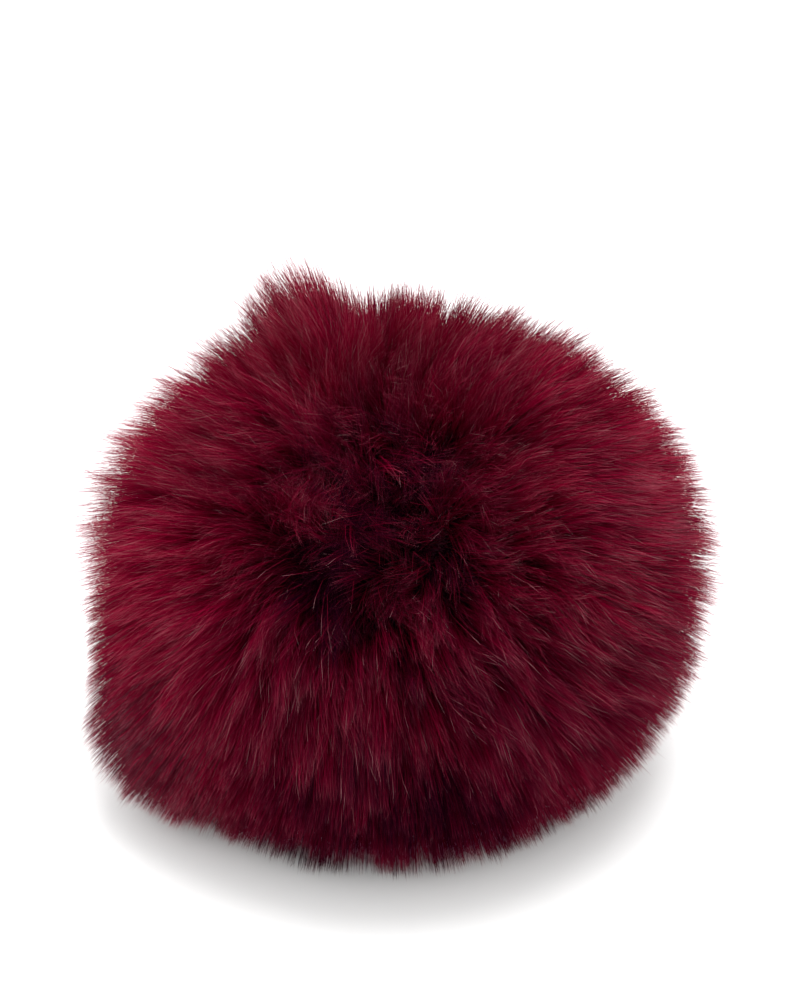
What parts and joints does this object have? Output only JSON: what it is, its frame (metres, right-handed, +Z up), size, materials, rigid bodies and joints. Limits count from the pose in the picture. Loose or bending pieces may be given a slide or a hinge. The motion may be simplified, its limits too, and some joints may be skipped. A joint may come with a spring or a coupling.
{
  "type": "faux fur pompom with press stud",
  "caption": "Round pile-fabric pompom in deep red, resting on its fur, with a metal sew-on press stud at the back whose outer half pulls off.",
  "frame": {"origin": "bottom centre of the pompom's box, on the surface that it rests on", "axes": "+Z up; the crown of the fur faces -Y; the press stud is on the +Y side and its axis points back and 22 degrees down; +X is the pompom's right, seen from the front"},
  "size_m": [0.0976, 0.0878, 0.0767],
  "materials": {
    "fur": "long acrylic pile, deep burgundy, paler at the tips",
    "backing_cloth": "pale knitted backing that shows in specks beside the press stud",
    "sewing_thread": "matt twisted thread",
    "stud_brass": "antique brass, rubbed bright on the ball",
    "aged_brass": "dark aged brass plate with a brighter rolled rim",
    "spring_wire": "drawn wire with a thin brass coat"
  },
  "bodies": {
    "pompom": {"fur_ball": "fur", "stud_half": "stud_brass"},
    "socket": {"socket_half": "aged_brass", "spring_left": "spring_wire", "spring_right": "spring_wire"}
  },
  "joints": [
    {"name": "socket_pull_off", "type": "slide", "parent": "pompom", "child": "socket", "axis": [0, 0.9272, -0.3746], "range_m": [0, 0.012], "deforming": ["spring_left", "spring_right"]}
  ]
}
